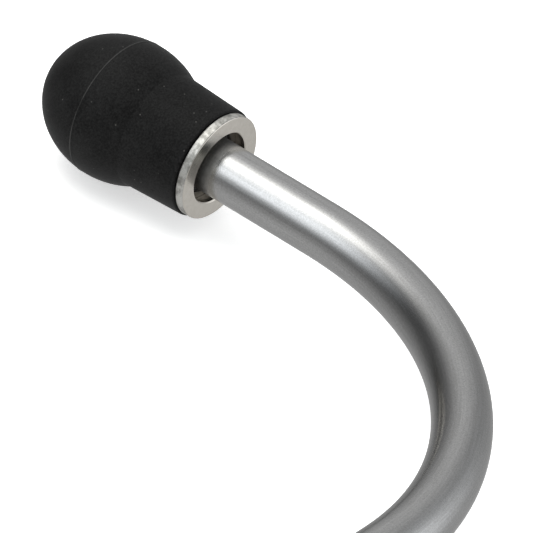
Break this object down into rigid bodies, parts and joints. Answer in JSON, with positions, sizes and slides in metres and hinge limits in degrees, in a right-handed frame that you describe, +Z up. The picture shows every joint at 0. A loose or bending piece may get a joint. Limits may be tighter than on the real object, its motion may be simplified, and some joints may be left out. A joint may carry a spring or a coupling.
{
  "type": "ladder stabilizer",
  "caption": "Bent-tube ladder stand-off with swivelling rubber wall tips on plated ferrules and sliding U-bolt clamps for the ladder's side rails.",
  "frame": {"origin": "middle of the crossbar, on the tube's centreline", "axes": "+X along the crossbar to the right, +Y towards the wall along both arms, +Z up, with the tube's bend plane level"},
  "size_m": [1.1848, 0.4267, 0.0648],
  "materials": {
    "tube_aluminium": "satin clear anodised",
    "tip_rubber": "matte moulded",
    "ferrule_nickel": "nickel plated",
    "spring_steel": "phosphated spring steel",
    "bush_acetal": "turned",
    "clamp_aluminium": "mill finish, tumbled",
    "zinc_plated_steel": "bright zinc plated"
  },
  "bodies": {
    "crossbar": {"stabilizer_tube": "tube_aluminium", "tip_bush_left": "bush_acetal", "tip_pin_left": "spring_steel", "tip_bush_right": "bush_acetal", "tip_pin_right": "spring_steel"},
    "tip_left": {"tip_bulb_left": "tip_rubber", "tip_ferrule_left": "ferrule_nickel", "tip_circlip_left": "spring_steel", "tip_thrust_washer_left": "zinc_plated_steel"},
    "clamp_left": {"rail_block_left": "clamp_aluminium", "saddle_plate_left": "zinc_plated_steel", "washers_left": "zinc_plated_steel"},
    "u_bolt_upper_left": {"u_bolt_upper_left": "zinc_plated_steel"},
    "wing_nut_upper_inner_left": {"wing_nut_upper_inner_left": "zinc_plated_steel"},
    "wing_nut_upper_outer_left": {"wing_nut_upper_outer_left": "zinc_plated_steel"},
    "u_bolt_lower_left": {"u_bolt_lower_left": "zinc_plated_steel"},
    "wing_nut_lower_inner_left": {"wing_nut_lower_inner_left": "zinc_plated_steel"},
    "wing_nut_lower_outer_left": {"wing_nut_lower_outer_left": "zinc_plated_steel"},
    "tip_right": {"tip_bulb_right": "tip_rubber", "tip_ferrule_right": "ferrule_nickel", "tip_circlip_right": "spring_steel", "tip_thrust_washer_right": "zinc_plated_steel"},
    "clamp_right": {"rail_block_right": "clamp_aluminium", "saddle_plate_right": "zinc_plated_steel", "washers_right": "zinc_plated_steel"},
    "u_bolt_upper_right": {"u_bolt_upper_right": "zinc_plated_steel"},
    "wing_nut_upper_inner_right": {"wing_nut_upper_inner_right": "zinc_plated_steel"},
    "wing_nut_upper_outer_right": {"wing_nut_upper_outer_right": "zinc_plated_steel"},
    "u_bolt_lower_right": {"u_bolt_lower_right": "zinc_plated_steel"},
    "wing_nut_lower_inner_right": {"wing_nut_lower_inner_right": "zinc_plated_steel"},
    "wing_nut_lower_outer_right": {"wing_nut_lower_outer_right": "zinc_plated_steel"}
  },
  "joints": [
    {"name": "tip_swivel_left", "type": "hinge", "parent": "crossbar", "child": "tip_left", "pos_m": [-0.56, 0.212, 0], "axis": [0, 1, 0], "continuous": true},
    {"name": "clamp_slide_left", "type": "slide", "parent": "crossbar", "child": "clamp_left", "axis": [-1, 0, 0], "range_m": [-0.065, 0.18]},
    {"name": "u_bolt_travel_upper_left", "type": "slide", "parent": "clamp_left", "child": "u_bolt_upper_left", "axis": [0, 1, 0], "range_m": [-0.01397, 0.0381]},
    {"name": "nut_turn_upper_inner_left", "type": "hinge", "parent": "clamp_left", "child": "wing_nut_upper_inner_left", "pos_m": [-0.16278, 0.00865, 0.0244], "axis": [0, -1, 0], "range_deg": [-3961, 10801]},
    {"name": "nut_turn_upper_outer_left", "type": "hinge", "parent": "clamp_left", "child": "wing_nut_upper_outer_left", "pos_m": [-0.20722, 0.00865, 0.0244], "axis": [0, -1, 0], "range_deg": [-3961, 10801]},
    {"name": "u_bolt_travel_lower_left", "type": "slide", "parent": "clamp_left", "child": "u_bolt_lower_left", "axis": [0, 1, 0], "range_m": [-0.01397, 0.0381]},
    {"name": "nut_turn_lower_inner_left", "type": "hinge", "parent": "clamp_left", "child": "wing_nut_lower_inner_left", "pos_m": [-0.16278, 0.00865, -0.0244], "axis": [0, -1, 0], "range_deg": [-3961, 10801]},
    {"name": "nut_turn_lower_outer_left", "type": "hinge", "parent": "clamp_left", "child": "wing_nut_lower_outer_left", "pos_m": [-0.20722, 0.00865, -0.0244], "axis": [0, -1, 0], "range_deg": [-3961, 10801]},
    {"name": "tip_swivel_right", "type": "hinge", "parent": "crossbar", "child": "tip_right", "pos_m": [0.56, 0.212, 0], "axis": [0, 1, 0], "continuous": true},
    {"name": "clamp_slide_right", "type": "slide", "parent": "crossbar", "child": "clamp_right", "axis": [1, 0, 0], "range_m": [-0.065, 0.18]},
    {"name": "u_bolt_travel_upper_right", "type": "slide", "parent": "clamp_right", "child": "u_bolt_upper_right", "axis": [0, 1, 0], "range_m": [-0.01397, 0.0381]},
    {"name": "nut_turn_upper_inner_right", "type": "hinge", "parent": "clamp_right", "child": "wing_nut_upper_inner_right", "pos_m": [0.16278, 0.00865, 0.0244], "axis": [0, -1, 0], "range_deg": [-3961, 10801]},
    {"name": "nut_turn_upper_outer_right", "type": "hinge", "parent": "clamp_right", "child": "wing_nut_upper_outer_right", "pos_m": [0.20722, 0.00865, 0.0244], "axis": [0, -1, 0], "range_deg": [-3961, 10801]},
    {"name": "u_bolt_travel_lower_right", "type": "slide", "parent": "clamp_right", "child": "u_bolt_lower_right", "axis": [0, 1, 0], "range_m": [-0.01397, 0.0381]},
    {"name": "nut_turn_lower_inner_right", "type": "hinge", "parent": "clamp_right", "child": "wing_nut_lower_inner_right", "pos_m": [0.16278, 0.00865, -0.0244], "axis": [0, -1, 0], "range_deg": [-3961, 10801]},
    {"name": "nut_turn_lower_outer_right", "type": "hinge", "parent": "clamp_right", "child": "wing_nut_lower_outer_right", "pos_m": [0.20722, 0.00865, -0.0244], "axis": [0, -1, 0], "range_deg": [-3961, 10801]}
  ],
  "couplings": [
    {"joint": "nut_turn_upper_inner_left", "follows": "u_bolt_travel_upper_left", "rad_per_m": 4947.4},
    {"joint": "nut_turn_upper_outer_left", "follows": "u_bolt_travel_upper_left", "rad_per_m": 4947.4},
    {"joint": "nut_turn_lower_inner_left", "follows": "u_bolt_travel_lower_left", "rad_per_m": 4947.4},
    {"joint": "nut_turn_lower_outer_left", "follows": "u_bolt_travel_lower_left", "rad_per_m": 4947.4},
    {"joint": "nut_turn_upper_inner_right", "follows": "u_bolt_travel_upper_right", "rad_per_m": 4947.4},
    {"joint": "nut_turn_upper_outer_right", "follows": "u_bolt_travel_upper_right", "rad_per_m": 4947.4},
    {"joint": "nut_turn_lower_inner_right", "follows": "u_bolt_travel_lower_right", "rad_per_m": 4947.4},
    {"joint": "nut_turn_lower_outer_right", "follows": "u_bolt_travel_lower_right", "rad_per_m": 4947.4}
  ]
}
